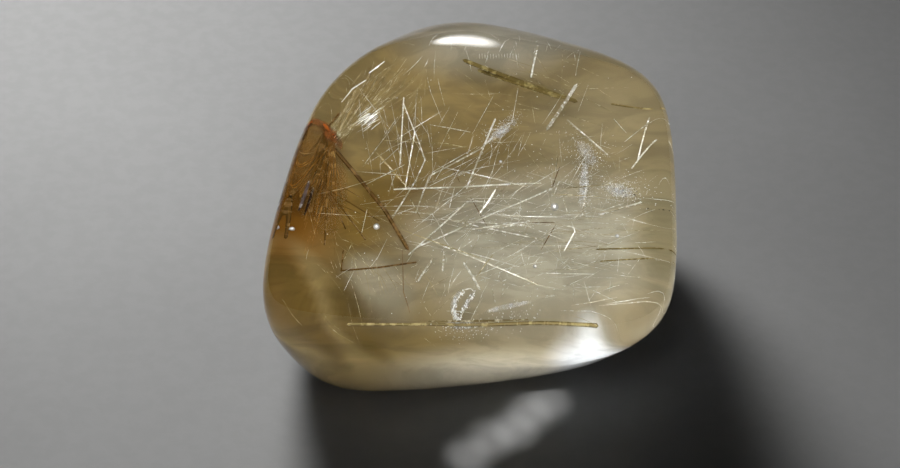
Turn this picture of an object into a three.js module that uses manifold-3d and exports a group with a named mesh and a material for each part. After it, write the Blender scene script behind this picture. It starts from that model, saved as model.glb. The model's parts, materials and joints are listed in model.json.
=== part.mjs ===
// Rutilated quartz: a tumbled, polished pebble of clear quartz with rutile crystals sealed inside it.
// Millimetres, +Z up. The origin is at the middle of the pebble's foot, on the surface it rests on.
import * as THREE from "three";
import { mergeVertices } from "three/addons/utils/BufferGeometryUtils.js";
import Module from "manifold-3d";

// The pebble's worn faces. turn and tilt give the way each one looks, in degrees: turn 0 is +X and 90 is +Y,
// and tilt 90 is straight up. reach is how far the face stands from the pebble's middle.
const FACES = {
  window: { turn: -90, tilt: 62, reach: 6.8 },
  crown: { turn: 66, tilt: 76, reach: 9.7 },
  back: { turn: 64, tilt: 40, reach: 12.3 },
  back_left: { turn: 124, tilt: 43, reach: 12.1 },
  left_shoulder: { turn: 152, tilt: 26, reach: 11.8 },
  left: { turn: 172, tilt: 8, reach: 11.5 },
  right: { turn: -2, tilt: 0, reach: 12.3 },
  right_back: { turn: 20, tilt: 22, reach: 14.4 },
  front_right: { turn: -41, tilt: -38, reach: 13.0 },
  front: { turn: -93, tilt: 0, reach: 11.9 },
  front_foot: { turn: -80, tilt: -49, reach: 11.2 },
  front_left: { turn: -150, tilt: -30, reach: 15.0 },
  base: { turn: 0, tilt: -90, reach: 8.6 },
  back_low: { turn: 80, tilt: -14, reach: 11.0 },
  back_foot: { turn: 95, tilt: -48, reach: 10.8 },
  left_foot: { turn: 170, tilt: -46, reach: 11.8 },
  right_foot: { turn: 15, tilt: -46, reach: 12.0 },
};
const EDGE_SHARPNESS = 11; // the faces meet in soft edges, and a higher number makes them tighter
const FOOT_DEPTH = 7.4; // from the pebble's middle down to the flat that it rests on
const SKIN_DETAIL = 11; // cuts along each edge of the icosahedron that the skin is blown up from
const PARTING_DEPTH = 3.6; // from the window in to the plane where most of the rutile lies
const GAP = 0.3; // between the two halves of the quartz, and round each crystal in its pocket
const CRYSTAL_SIDES = 6;
const CRYSTAL_POINT = 1.5; // length of a crystal's pointed ends, in radii
const SPAN = 60; // side of the blocks that cut the pebble, well over its size

// What the pieces are made of, with the colours that they show.
const QUARTZ = { color: 0x9a8c6c, roughness: 0.06, metalness: 0, transparent: true, opacity: 0.4 };
const BROWN_RUTILE = { color: 0x5f3a18, roughness: 0.35, metalness: 0.4 };
const PALE_RUTILE = { color: 0xd9cfa8, roughness: 0.25, metalness: 0.6 };

// Where the brown spray's blades part, and where its fan of fibres does.
const SPRAY_ROOT = [-8.8, 3.0, -0.7];
const SPRAY_FAN = [-8.85, -0.9, -0.25];

// The rutile. Each stem is a radius and the points that it runs through, measured from the middle of the parting
// plane: x along the window to the right, y up its slope and z out through it.
const RUTILE = {
  brown_rod: {
    finish: BROWN_RUTILE,
    stems: [{ radius: 0.12, points: [[-8.4, 1.8, -0.8], [-5.4, -2.3, 0.1], [-4.0, -4.9, 0.5]] }],
  },
  brown_spray: {
    finish: BROWN_RUTILE,
    stems: [
      { radius: 0.07, points: [SPRAY_ROOT, [-10.1, -2.2, -0.1]] },
      { radius: 0.07, points: [SPRAY_ROOT, [-9.7, -2.6, 0.4]] },
      { radius: 0.05, points: [SPRAY_ROOT, SPRAY_FAN, [-8.9, -4.6, 0.2]] },
      { radius: 0.05, points: [SPRAY_ROOT, [-8.1, 4.1, -0.5]] },
      { radius: 0.04, points: [SPRAY_ROOT, [-10.6, -2.0, -0.6]] },
      { radius: 0.04, points: [SPRAY_ROOT, [-10.1, 0.4, -0.9]] },
      { radius: 0.04, points: [SPRAY_FAN, [-7.7, -3.6, 0.2]] },
      { radius: 0.04, points: [SPRAY_FAN, [-6.5, -4.3, 0.2]] },
      { radius: 0.04, points: [SPRAY_FAN, [-5.7, -3.1, 0.3]] },
    ],
  },
  edge_blade: {
    finish: BROWN_RUTILE,
    stems: [{ radius: 0.06, points: [[-10.4, -1.1, -0.3], [-10.9, -4.2, 0.3]] }],
  },
  elbow_needle: {
    finish: BROWN_RUTILE,
    stems: [
      { radius: 0.05, points: [[-7.9, -6.1, 0], [-5.6, -5.9, -0.1], [-3.5, -5.6, -0.2]] },
      { radius: 0.05, points: [[-7.9, -6.1, 0], [-7.8, -5.0, 0.3]] },
    ],
  },
  long_needle: {
    finish: BROWN_RUTILE,
    stems: [{ radius: 0.06, points: [[-7.4, -8.6, 0.1], [7.2, -8.7, -0.1]] }],
  },
  side_needle_upper: {
    finish: BROWN_RUTILE,
    stems: [{ radius: 0.05, points: [[7.3, -4.9, 0.1], [10.7, -4.7, -0.1]] }],
  },
  side_needle_lower: {
    finish: BROWN_RUTILE,
    stems: [{ radius: 0.04, points: [[7.5, -5.6, -0.1], [10.5, -5.4, 0.1]] }],
  },
  roof_blades: {
    finish: BROWN_RUTILE,
    stems: [
      { radius: 0.12, points: [[-0.6, 7.2, 0.2], [6.2, 4.8, -0.1]] },
      { radius: 0.1, points: [[0.3, 6.7, -0.1], [5.3, 4.95, 0.1]] },
    ],
  },
  roof_needle: {
    finish: BROWN_RUTILE,
    stems: [{ radius: 0.05, points: [[8.4, 4.5, 0.2], [10.4, 4.2, -0.2]] }],
  },
  left_net: {
    finish: PALE_RUTILE,
    stems: [
      { radius: 0.04, points: [[-4.3, 5.0, 0.1], [-4.5, 0.6, -0.1]] },
      { radius: 0.04, points: [[-4.3, 4.6, 0.1], [-3.4, 2.3, 0.05], [-2.95, 0.9, 0], [-3.5, -0.4, -0.05]] },
      { radius: 0.04, points: [[-3.6, 2.8, 0.05], [-4.15, -0.9, -0.05]] },
      { radius: 0.05, points: [[-4.9, -2.8, -0.1], [-3.5, -0.4, -0.05]] },
    ],
  },
  bent_needle: {
    finish: PALE_RUTILE,
    stems: [{ radius: 0.05, points: [[-3.5, -2.4, -0.3], [-2.7, -0.1, -0.1], [0.4, 1.6, 0.2], [1.1, 2.3, 0.3]] }],
  },
  middle_net: {
    finish: PALE_RUTILE,
    stems: [
      { radius: 0.05, points: [[-4.8, -1.15, 0.55], [4.0, -0.5, -0.35]] },
      { radius: 0.06, points: [[1.3, 3.35, 1.0], [-0.45, -0.9, 0.1]] },
    ],
  },
  fork_needles: {
    finish: PALE_RUTILE,
    stems: [
      { radius: 0.05, points: [[-3.9, -5.1, -0.3], [-0.4, -1.9, 0.4]] },
      { radius: 0.05, points: [[-3.4, -4.65, -0.21], [4.6, -1.05, 0.3]] },
    ],
  },
  flat_needles: {
    finish: PALE_RUTILE,
    stems: [
      { radius: 0.04, points: [[-1.4, -2.9, -0.4], [4.1, -4.2, -0.3]] },
      { radius: 0.04, points: [[-1.4, -2.9, -0.4], [3.4, -3.3, -0.35]] },
      { radius: 0.04, points: [[0.8, -3.45, -0.36], [3.6, -3.1, -0.35]] },
    ],
  },
  slant_needle: {
    finish: PALE_RUTILE,
    stems: [{ radius: 0.04, points: [[-2.4, -4.5, 0.3], [3.8, -6.9, -0.3]] }],
  },
  pale_blade: {
    finish: PALE_RUTILE,
    stems: [{ radius: 0.11, points: [[6.2, 5.5, 0.8], [4.5, 3.1, -0.4]] }],
  },
  crown_needle: {
    finish: PALE_RUTILE,
    stems: [{ radius: 0.06, points: [[3.9, 8.4, -0.3], [3.5, 6.2, 0.3]] }],
  },
  right_needle: {
    finish: PALE_RUTILE,
    stems: [{ radius: 0.05, points: [[5.7, 3.45, 0.3], [8.1, 1.35, -0.3]] }],
  },
  edge_needle: {
    finish: PALE_RUTILE,
    stems: [{ radius: 0.05, points: [[7.5, -2.6, -0.2], [9.9, -1.9, 0.2]] }],
  },
  corner_needles: {
    finish: PALE_RUTILE,
    stems: [
      { radius: 0.04, points: [[10.4, 3.6, 0.2], [9.8, 0.8, 0]] },
      { radius: 0.04, points: [[10.7, 2.2, 0.2], [9.5, 0.4, 0]] },
    ],
  },
  splinter_left: {
    finish: PALE_RUTILE,
    stems: [{ radius: 0.06, points: [[-3.3, -6.6, -0.2], [-2.5, -5.5, 0.2]] }],
  },
  splinter_middle: {
    finish: PALE_RUTILE,
    stems: [{ radius: 0.06, points: [[-1.9, -6.1, -0.2], [-1.8, -5.0, 0.2]] }],
  },
  splinter_right: {
    finish: PALE_RUTILE,
    stems: [{ radius: 0.07, points: [[-0.6, -5.8, 0.2], [0.3, -7.1, -0.2]] }],
  },
};

const wasm = await Module();
wasm.setup();

// A closed three.js geometry as a solid that can be joined and cut.
function solidOf(geometry) {
  geometry.deleteAttribute("normal");
  geometry.deleteAttribute("uv");
  const merged = mergeVertices(geometry);
  return new wasm.Manifold(
    new wasm.Mesh({
      numProp: 3,
      vertProperties: merged.attributes.position.array,
      triVerts: new Uint32Array(merged.index.array),
    }),
  );
}

// A solid back as a flat-shaded geometry.
function geometryOf(solid) {
  const { vertProperties, triVerts } = solid.getMesh();
  const indexed = new THREE.BufferGeometry()
    .setAttribute("position", new THREE.BufferAttribute(vertProperties, 3))
    .setIndex(new THREE.BufferAttribute(triVerts, 1));
  const flat = indexed.toNonIndexed();
  flat.computeVertexNormals();
  return flat;
}

function joined(solids) {
  return solids.reduce((whole, solid) => whole.add(solid));
}

// The way that a worn face looks.
function normalOf({ turn, tilt }) {
  const polar = THREE.MathUtils.degToRad(90 - tilt);
  const { x, y, z } = new THREE.Vector3().setFromSphericalCoords(1, polar, THREE.MathUtils.degToRad(turn));
  return new THREE.Vector3(z, x, y); // three.js takes Y as up here, and the pebble takes Z
}

// How far the skin is from the middle, the way that a direction points. Each face alone would be a plane, and the
// sum of high powers rounds the edges where planes meet.
function skinReach(direction, faces) {
  const sum = faces.reduce(
    (total, { normal, reach }) => total + Math.max(0, direction.dot(normal) / reach) ** EDGE_SHARPNESS,
    0,
  );
  return sum ** (-1 / EDGE_SHARPNESS);
}

// The whole pebble about its middle, with a flat foot.
function pebble() {
  const faces = Object.values(FACES).map((face) => ({ normal: normalOf(face), reach: face.reach }));
  const skin = new THREE.IcosahedronGeometry(1, SKIN_DETAIL);
  const points = skin.attributes.position;
  const direction = new THREE.Vector3();
  for (let i = 0; i < points.count; i++) {
    direction.fromBufferAttribute(points, i).normalize();
    direction.multiplyScalar(skinReach(direction, faces));
    points.setXYZ(i, direction.x, direction.y, direction.z);
  }
  const ground = new THREE.BoxGeometry(SPAN, SPAN, SPAN).translate(0, 0, -SPAN / 2 - FOOT_DEPTH);
  return solidOf(skin).subtract(solidOf(ground));
}

// One straight stretch of a crystal: a six-sided prism with a point past each end.
function stretch(from, to, radius) {
  const way = to.clone().sub(from);
  const length = way.length();
  const point = CRYSTAL_POINT * radius;
  const profile = [
    new THREE.Vector2(0, -point),
    new THREE.Vector2(radius, 0),
    new THREE.Vector2(radius, length),
    new THREE.Vector2(0, length + point),
  ];
  const lie = new THREE.Quaternion().setFromUnitVectors(THREE.Object3D.DEFAULT_UP, way.normalize());
  return solidOf(
    new THREE.LatheGeometry(profile, CRYSTAL_SIDES).applyQuaternion(lie).translate(from.x, from.y, from.z),
  );
}

// All the stems of one crystal group as one solid, thickened by a clearance where it is a pocket.
function crystals({ stems }, clearance = 0) {
  return joined(
    stems.flatMap(({ radius, points }) => {
      const route = points.map((point) => new THREE.Vector3(...point));
      return route.slice(1).map((to, i) => stretch(route[i], to, radius + clearance));
    }),
  );
}

function piece(name, solid, finish) {
  const mesh = new THREE.Mesh(geometryOf(solid), new THREE.MeshStandardMaterial(finish));
  mesh.name = name;
  return mesh;
}

// The rutile lies about a plane parallel to the window, in a group that is tilted with it.
const inclusions = new THREE.Group();
inclusions.position.copy(normalOf(FACES.window)).multiplyScalar(FACES.window.reach - PARTING_DEPTH);
inclusions.rotation.x = THREE.MathUtils.degToRad(90 - FACES.window.tilt);
inclusions.updateMatrix();
for (const [name, group] of Object.entries(RUTILE)) {
  inclusions.add(piece(name, crystals(group), group.finish));
}

// The quartz, parted through the rutile so that each half holds half of every pocket.
const whole = pebble();
const pockets = joined(Object.values(RUTILE).map((group) => crystals(group, GAP))).transform(
  inclusions.matrix.elements,
);
function quartzHalf(side) {
  const block = new THREE.BoxGeometry(SPAN, SPAN, SPAN).translate(0, 0, (side * (SPAN + GAP)) / 2);
  return whole.intersect(solidOf(block.applyMatrix4(inclusions.matrix))).subtract(pockets);
}

const quartz = new THREE.Group();
quartz.add(piece("quartz_upper", quartzHalf(1), QUARTZ), piece("quartz_lower", quartzHalf(-1), QUARTZ), inclusions);

// The foot's middle goes to the origin.
const skinBox = new THREE.Box3().setFromBufferAttribute(geometryOf(whole).attributes.position);
const middle = skinBox.getCenter(new THREE.Vector3());
quartz.position.set(-middle.x, -middle.y, FOOT_DEPTH);

const rutilatedQuartz = new THREE.Group();
rutilatedQuartz.add(quartz);

export default rutilatedQuartz;
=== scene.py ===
"""Rutilated quartz pebble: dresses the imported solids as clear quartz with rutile, in a plain studio."""

from __future__ import annotations

import json
import logging
import math
from collections.abc import Sequence
from dataclasses import dataclass
from enum import Enum

import bmesh
import bpy
import numpy as np
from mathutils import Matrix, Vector

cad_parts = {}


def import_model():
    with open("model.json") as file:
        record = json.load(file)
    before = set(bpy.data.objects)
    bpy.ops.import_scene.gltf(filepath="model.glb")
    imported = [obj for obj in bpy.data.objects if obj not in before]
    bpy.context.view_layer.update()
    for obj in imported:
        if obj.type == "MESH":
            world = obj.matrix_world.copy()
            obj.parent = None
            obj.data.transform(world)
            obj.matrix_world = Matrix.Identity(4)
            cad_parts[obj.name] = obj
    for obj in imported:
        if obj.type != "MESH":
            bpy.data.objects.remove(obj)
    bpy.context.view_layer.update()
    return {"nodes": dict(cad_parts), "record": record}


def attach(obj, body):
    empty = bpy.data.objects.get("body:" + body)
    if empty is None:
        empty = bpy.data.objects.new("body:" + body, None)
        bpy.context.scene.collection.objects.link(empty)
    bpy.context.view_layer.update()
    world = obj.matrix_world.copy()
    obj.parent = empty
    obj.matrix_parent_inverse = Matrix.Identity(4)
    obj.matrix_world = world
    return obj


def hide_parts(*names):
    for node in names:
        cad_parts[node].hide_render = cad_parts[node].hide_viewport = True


LOG = logging.getLogger("rutilated_quartz")
MM = 0.001
BODY = "root"
FADE, SILK, TINT = "fade", "silk", "tint"
Colour = tuple[float, float, float]
Point = tuple[float, float, float]
Spot = tuple[float, float]
Span = tuple[float, float]


class Slot(Enum):
    """The record's material slots."""

    QUARTZ = "quartz"
    BROWN = "brown_rutile"
    PALE = "pale_rutile"


class NodeBench:
    """Adds and links the nodes of one node tree."""

    def __init__(self, tree: bpy.types.NodeTree) -> None:
        """Args: tree: the tree that the nodes go in."""
        self.tree = tree

    def add(self, kind: str, values: dict | None = None, **settings: object) -> bpy.types.Node:
        """Adds one node.

        Args:
            kind: Blender's name for the kind of node.
            values: plain values for its input sockets, by name or number.
            settings: the node's own properties.

        Returns:
            The new node.
        """
        node = self.tree.nodes.new(kind)
        for name, value in settings.items():
            setattr(node, name, value)
        for socket, value in (values or {}).items():
            node.inputs[socket].default_value = value
        return node

    def link(self, source: bpy.types.NodeSocket, target: bpy.types.NodeSocket) -> None:
        """Links an output to an input."""
        self.tree.links.new(source, target)

    def mix(self, share: bpy.types.NodeSocket, first: object, second: object) -> bpy.types.NodeSocket:
        """Mixes two colours.

        Args:
            share: how much of the second colour shows, from 0 to 1.
            first: a colour socket or a plain colour.
            second: a colour socket or a plain colour.

        Returns:
            The mixed colour's socket.
        """
        node = self.add("ShaderNodeMix", data_type="RGBA")
        self.link(share, node.inputs["Factor"])
        for socket, colour in ((node.inputs[6], first), (node.inputs[7], second)):
            if isinstance(colour, bpy.types.NodeSocket):
                self.link(colour, socket)
            else:
                socket.default_value = (*colour, 1.0)
        return node.outputs[2]

    def times(self, first: bpy.types.NodeSocket, second: bpy.types.NodeSocket) -> bpy.types.NodeSocket:
        """Returns the socket of two values' product."""
        node = self.add("ShaderNodeMath", operation="MULTIPLY")
        self.link(first, node.inputs[0])
        self.link(second, node.inputs[1])
        return node.outputs[0]

    def span(self, value: bpy.types.NodeSocket, inner: Sequence, outer: Sequence) -> bpy.types.NodeSocket:
        """Maps a value from one range to another, with smooth ends.

        Args:
            value: the socket to map.
            inner: the range that it comes in.
            outer: the range that it goes out in, as plain numbers or sockets.

        Returns:
            The mapped value's socket.
        """
        node = self.add(
            "ShaderNodeMapRange",
            {"From Min": inner[0], "From Max": inner[1]},
            interpolation_type="SMOOTHSTEP",
        )
        self.link(value, node.inputs["Value"])
        for name, end in (("To Min", outer[0]), ("To Max", outer[1])):
            if isinstance(end, bpy.types.NodeSocket):
                self.link(end, node.inputs[name])
            else:
                node.inputs[name].default_value = end
        return node.outputs["Result"]


def new_group(
    name: str, takes: dict[str, str], gives: dict[str, str]
) -> tuple[bpy.types.ShaderNodeTree, bpy.types.NodeOutputs, bpy.types.NodeInputs]:
    """Starts a node group with named sockets.

    Args:
        name: the group's name.
        takes: the kinds of its inputs, by name.
        gives: the kinds of its outputs, by name.

    Returns:
        The group's tree, and the sockets inside it that bring its inputs in and take its outputs out.
    """
    tree = bpy.data.node_groups.new(name, "ShaderNodeTree")
    for sockets, in_out in ((takes, "INPUT"), (gives, "OUTPUT")):
        for socket, kind in sockets.items():
            tree.interface.new_socket(socket, in_out=in_out, socket_type=kind)
    given = tree.nodes.new("NodeGroupInput").outputs
    put = tree.nodes.new("NodeGroupOutput").inputs
    return tree, given, put


def lustre_group() -> bpy.types.ShaderNodeTree:
    """Makes, once, the group that gives rutile its patchy lustre, with painted glints: small brighter spots
    that stand for light glinting off a crystal.

    Returns:
        The group, which puts out a colour with painted glints and a roughness that change along a crystal.
    """
    name = "rutile_lustre"
    if name in bpy.data.node_groups:
        return bpy.data.node_groups[name]
    colour, value = "NodeSocketColor", "NodeSocketFloat"
    takes = dict.fromkeys(("Dark", "Light", "Glint"), colour)
    takes |= dict.fromkeys(("Patch Scale", "Smooth", "Rough"), value)
    tree, given, put = new_group(name, takes, {"Color": colour, "Roughness": value})
    patch_range, painted_glint_range, polish_range = (0.36, 0.64), (0.52, 0.68), (0.3, 0.7)
    finer_share = 6.0
    bench = NodeBench(tree)
    where = bench.add("ShaderNodeTexCoord").outputs["Object"]
    patch = bench.add("ShaderNodeTexNoise", {"Detail": 3.0, "Roughness": 0.55})
    fine = bench.add("ShaderNodeTexNoise", {"Detail": 2.0, "Roughness": 0.6})
    finer = bench.add("ShaderNodeMath", {1: finer_share}, operation="MULTIPLY")
    bench.link(given["Patch Scale"], finer.inputs[0])
    for noise, scale in ((patch, given["Patch Scale"]), (fine, finer.outputs[0])):
        bench.link(where, noise.inputs["Vector"])
        bench.link(scale, noise.inputs["Scale"])
    patches = bench.span(patch.outputs["Fac"], patch_range, (0.0, 1.0))
    body = bench.mix(patches, given["Dark"], given["Light"])
    # Painted glints: fine noise lifts the colour to the glint colour in small spots, standing for light
    # glinting off the crystal.
    painted_glints = bench.span(fine.outputs["Fac"], painted_glint_range, (0.0, 1.0))
    bench.link(bench.mix(painted_glints, body, given["Glint"]), put["Color"])
    polish = bench.span(fine.outputs["Fac"], polish_range, (given["Smooth"], given["Rough"]))
    bench.link(polish, put["Roughness"])
    return tree


def mottle_group() -> bpy.types.ShaderNodeTree:
    """Makes, once, the group that gives the quartz, the films and the floor their faint clouds or grain.

    Returns:
        The group, which puts out a mask of soft blots.
    """
    name = "mottle"
    if name in bpy.data.node_groups:
        return bpy.data.node_groups[name]
    value = "NodeSocketFloat"
    tree, given, put = new_group(name, {"Scale": value, "Detail": value}, {"Mask": value})
    mask_range = (0.3, 0.7)
    bench = NodeBench(tree)
    noise = bench.add("ShaderNodeTexNoise", {"Roughness": 0.55})
    bench.link(bench.add("ShaderNodeTexCoord").outputs["Object"], noise.inputs["Vector"])
    for socket in ("Scale", "Detail"):
        bench.link(given[socket], noise.inputs[socket])
    bench.link(bench.span(noise.outputs["Fac"], mask_range, (0.0, 1.0)), put["Mask"])
    return tree


def silk_group() -> bpy.types.ShaderNodeTree:
    """Makes, once, the group that draws silky streaks along a film.

    Returns:
        The group, which puts out a mask of streaks.
    """
    name = "silk"
    if name in bpy.data.node_groups:
        return bpy.data.node_groups[name]
    vector, value = "NodeSocketVector", "NodeSocketFloat"
    tree, given, put = new_group(name, {"Place": vector, "Pitch": vector}, {"Streaks": value})
    streak_range = (0.32, 0.65)
    bench = NodeBench(tree)
    drawn = bench.add("ShaderNodeVectorMath", operation="MULTIPLY")
    bench.link(given["Place"], drawn.inputs[0])
    bench.link(given["Pitch"], drawn.inputs[1])
    waves = {"Scale": 1.0, "Detail": 4.0, "Roughness": 0.6, "Distortion": 0.8}
    noise = bench.add("ShaderNodeTexNoise", waves)
    bench.link(drawn.outputs["Vector"], noise.inputs["Vector"])
    bench.link(bench.span(noise.outputs["Fac"], streak_range, (0.0, 1.0)), put["Streaks"])
    return tree


def add_mottle(bench: NodeBench, scale: float, detail: float = 4.0) -> bpy.types.NodeSocket:
    """Adds the mottle group to a material and returns its mask."""
    blots = {"Scale": scale, "Detail": detail}
    return bench.add("ShaderNodeGroup", blots, node_tree=mottle_group()).outputs["Mask"]


def add_silk(bench: NodeBench, pitch: Point) -> bpy.types.NodeSocket:
    """Adds the silk group to a material and returns its streaks, which follow the places on the mesh."""
    silk = bench.add("ShaderNodeGroup", {"Pitch": pitch}, node_tree=silk_group())
    place = bench.add("ShaderNodeAttribute", attribute_name=SILK)
    bench.link(place.outputs["Vector"], silk.inputs["Place"])
    return silk.outputs["Streaks"]


def lay_dust(
    piece: bpy.types.Object, shows: np.ndarray, places: np.ndarray, tints: np.ndarray | None = None
) -> None:
    """Notes on a mesh how dust-fine rutile lies in it.

    Args:
        piece: the film's or the cloud's object.
        shows: how much of it shows at each vertex, from 0 to 1.
        places: each vertex's place along and across the streaks, in mm.
        tints: the dust's colour at each vertex, with the cloud's painted glow in it, if its finish has none
            of its own.
    """
    attributes = piece.data.attributes
    attributes.new(FADE, "FLOAT", "POINT").data.foreach_set("value", shows.ravel())
    attributes.new(SILK, "FLOAT_VECTOR", "POINT").data.foreach_set("vector", places.ravel())
    if tints is not None:
        rows = np.concatenate([tints, np.ones((len(tints), 1))], axis=1)
        attributes.new(TINT, "FLOAT_COLOR", "POINT").data.foreach_set("color", rows.ravel())


def fresh_material(
    name: str, values: dict
) -> tuple[bpy.types.Material, NodeBench, bpy.types.Node, bpy.types.Node]:
    """Starts a material with a Principled shader on its output.

    Args:
        name: the material's name.
        values: plain values for the shader's inputs, by name.

    Returns:
        The material, a bench on its nodes, the Principled node and the output node.
    """
    material = bpy.data.materials.new(name)
    material.use_nodes = True
    material.node_tree.nodes.clear()
    bench = NodeBench(material.node_tree)
    shader = bench.add("ShaderNodeBsdfPrincipled", values)
    output = bench.add("ShaderNodeOutputMaterial")
    bench.link(shader.outputs["BSDF"], output.inputs["Surface"])
    return material, bench, shader, output


@dataclass(frozen=True)
class RutileFinish:
    """Rutile's finish: two body colours in patches, and brighter painted glints that stand for light
    glinting off the crystal.
    """

    name: str
    dark: Colour
    light: Colour
    painted_glint: Colour
    metallic: float
    smooth: float = 0.16
    rough: float = 0.34
    patch_scale: float = 420.0
    gleam: float = 0.5

    def material(self) -> bpy.types.Material:
        """Returns the finish's material, which is made the first time."""
        if self.name in bpy.data.materials:
            return bpy.data.materials[self.name]
        plain = {"Metallic": self.metallic, "Specular IOR Level": self.gleam}
        material, bench, shader, _ = fresh_material(self.name, plain)
        takes = {"Patch Scale": self.patch_scale, "Smooth": self.smooth, "Rough": self.rough}
        for socket, colour in (("Dark", self.dark), ("Light", self.light), ("Glint", self.painted_glint)):
            takes[socket] = (*colour, 1.0)
        lustre = bench.add("ShaderNodeGroup", takes, node_tree=lustre_group())
        bench.link(lustre.outputs["Color"], shader.inputs["Base Color"])
        bench.link(lustre.outputs["Roughness"], shader.inputs["Roughness"])
        return material


# The third colour of each finish is a painted glint: small bright spots that stand for light glinting off
# needles, grains and bubbles.
BROWN_FINISH = RutileFinish(
    "brown_lustre", (0.09, 0.043, 0.007), (0.135, 0.068, 0.013), (0.2, 0.11, 0.032), 0.2, gleam=0.1
)
OLIVE_FINISH = RutileFinish(
    "olive_lustre", (0.16, 0.112, 0.03), (0.24, 0.175, 0.055), (0.36, 0.28, 0.11), 0.2, gleam=0.2
)
FIBRE_FINISH = RutileFinish(
    "fibre_lustre", (0.14, 0.058, 0.007), (0.28, 0.13, 0.022), (0.5, 0.3, 0.09), 0.1, gleam=0.06
)
# The pale needles' patches run from tan to near white: partly their own tone, partly painted sparkle, beads
# of light along each needle.
PALE_FINISH = RutileFinish(
    "pale_lustre", (0.42, 0.36, 0.23), (0.84, 0.8, 0.68), (0.99, 0.98, 0.95), 0.2, patch_scale=700.0
)
GOLD_FINISH = RutileFinish("gold_lustre", (0.26, 0.19, 0.07), (0.42, 0.33, 0.15), (0.8, 0.72, 0.5), 0.2)
BLADE_FINISH = RutileFinish(
    "blade_lustre", (0.015, 0.007, 0.004), (0.04, 0.02, 0.012), (0.2, 0.17, 0.15), 0.4, gleam=0.2
)
FROST_FINISH = RutileFinish("frost_grain", (0.88, 0.87, 0.83), (0.97, 0.96, 0.94), (0.99, 0.99, 0.98), 0.1)
SOOT_FINISH = RutileFinish("dark_grain", (0.012, 0.009, 0.005), (0.04, 0.03, 0.02), (0.12, 0.1, 0.07), 0.3)
PEARL_FINISH = RutileFinish(
    "pearly_skin", (0.8, 0.78, 0.74), (0.93, 0.92, 0.89), (0.99, 0.99, 0.98), 0.6, smooth=0.1, rough=0.2
)


@dataclass(frozen=True)
class HazeFinish:
    """A soft film of dust-fine fibres: silky streaks of two colours, thinner in clouds and at the rim."""

    name: str
    dark: Colour
    light: Colour
    cover: float
    pitch: Point
    thinnest: float
    cloud_scale: float = 260.0
    thin_share: float = 0.5
    roughness: float = 0.7
    gleam: float = 0.1

    def material(self) -> bpy.types.Material:
        """Returns the finish's material."""
        plain = {"Roughness": self.roughness, "Specular IOR Level": self.gleam}
        material, bench, shader, _ = fresh_material(self.name, plain)
        streaks = add_silk(bench, self.pitch)
        bench.link(bench.mix(streaks, self.dark, self.light), shader.inputs["Base Color"])
        covers = (self.thin_share * self.cover, self.cover)
        clouds = bench.span(add_mottle(bench, self.cloud_scale), (0.0, 1.0), covers)
        threads = bench.span(streaks, (0.0, 1.0), (self.thinnest, 1.0))
        rim = bench.add("ShaderNodeAttribute", attribute_name=FADE).outputs["Fac"]
        bench.link(bench.times(bench.times(rim, clouds), threads), shader.inputs["Alpha"])
        return material


AMBER_HAZE = HazeFinish("amber_haze", (0.25, 0.11, 0.014), (0.36, 0.18, 0.032), 0.4, (0.3, 1.5, 1.0), 0.7)
RUST_HAZE = HazeFinish(
    "rust_film", (0.12, 0.024, 0.002), (0.3, 0.082, 0.008), 0.9, (2.0, 4.0, 1.0), 0.4, cloud_scale=1200.0
)
FROST_HAZE = HazeFinish(
    "frost_film", (0.4, 0.39, 0.37), (0.85, 0.84, 0.82), 0.45, (4.0, 9.0, 1.0), 0.4, cloud_scale=1500.0
)


@dataclass(frozen=True)
class CloudFinish:
    """Rutile dust, in the tint and cover that are noted on its mesh, with faint silky streaks; the tint
    holds painted glow at the front.
    """

    name: str = "golden_cloud"
    pitch: Point = (0.3, 0.8, 0.2)
    shades: Span = (0.86, 1.11)
    roughness: float = 0.8
    gleam: float = 0.05

    def material(self) -> bpy.types.Material:
        """Returns the finish's material."""
        plain = {"Roughness": self.roughness, "Specular IOR Level": self.gleam}
        material, bench, shader, _ = fresh_material(self.name, plain)
        tint, cover = (
            bench.add("ShaderNodeAttribute", attribute_name=name).outputs for name in (TINT, FADE)
        )
        toned = bench.add("ShaderNodeVectorMath", operation="SCALE")
        bench.link(tint["Color"], toned.inputs[0])
        shade = bench.span(add_silk(bench, self.pitch), (0.0, 1.0), self.shades)
        bench.link(shade, toned.inputs["Scale"])
        bench.link(toned.outputs["Vector"], shader.inputs["Base Color"])
        bench.link(cover["Fac"], shader.inputs["Alpha"])
        return material


@dataclass(frozen=True)
class QuartzFinish:
    """Polished clear quartz, tan through its depth, duller low on its sides, with a matt foot."""

    name: str = "clear_quartz"
    ior: float = 1.544
    tint: Colour = (0.62, 0.52, 0.2)
    density: float = 36.0
    foot_roughness: float = 0.2
    side_roughness: float = 0.05
    foot_heights: Span = (0.4, 3.0)
    side_heights: Span = (2.0, 6.5)
    cloud_shades: Span = (0.6, 1.2)
    cloud_scale: float = 160.0

    def material(self) -> bpy.types.Material:
        """Returns the finish's material."""
        clear = {"Base Color": (1.0, 1.0, 1.0, 1.0), "IOR": self.ior, "Transmission Weight": 1.0}
        material, bench, shader, output = fresh_material(self.name, clear)
        place = bench.add("ShaderNodeSeparateXYZ")
        bench.link(bench.add("ShaderNodeTexCoord").outputs["Object"], place.inputs["Vector"])
        height = place.outputs["Z"]
        clouds = bench.span(add_mottle(bench, self.cloud_scale), (0.0, 1.0), self.cloud_shades)
        foot_levels = [level * MM for level in self.foot_heights]
        side_levels = [level * MM for level in self.side_heights]
        side = bench.span(height, side_levels, (self.side_roughness, 0.0))
        foot = bench.span(height, foot_levels, (self.foot_roughness, bench.times(side, clouds)))
        bench.link(foot, shader.inputs["Roughness"])
        depth_tint = {"Color": (*self.tint, 1.0), "Density": self.density}
        inside = bench.add("ShaderNodeVolumeAbsorption", depth_tint)
        bench.link(inside.outputs["Volume"], output.inputs["Volume"])
        return material


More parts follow.
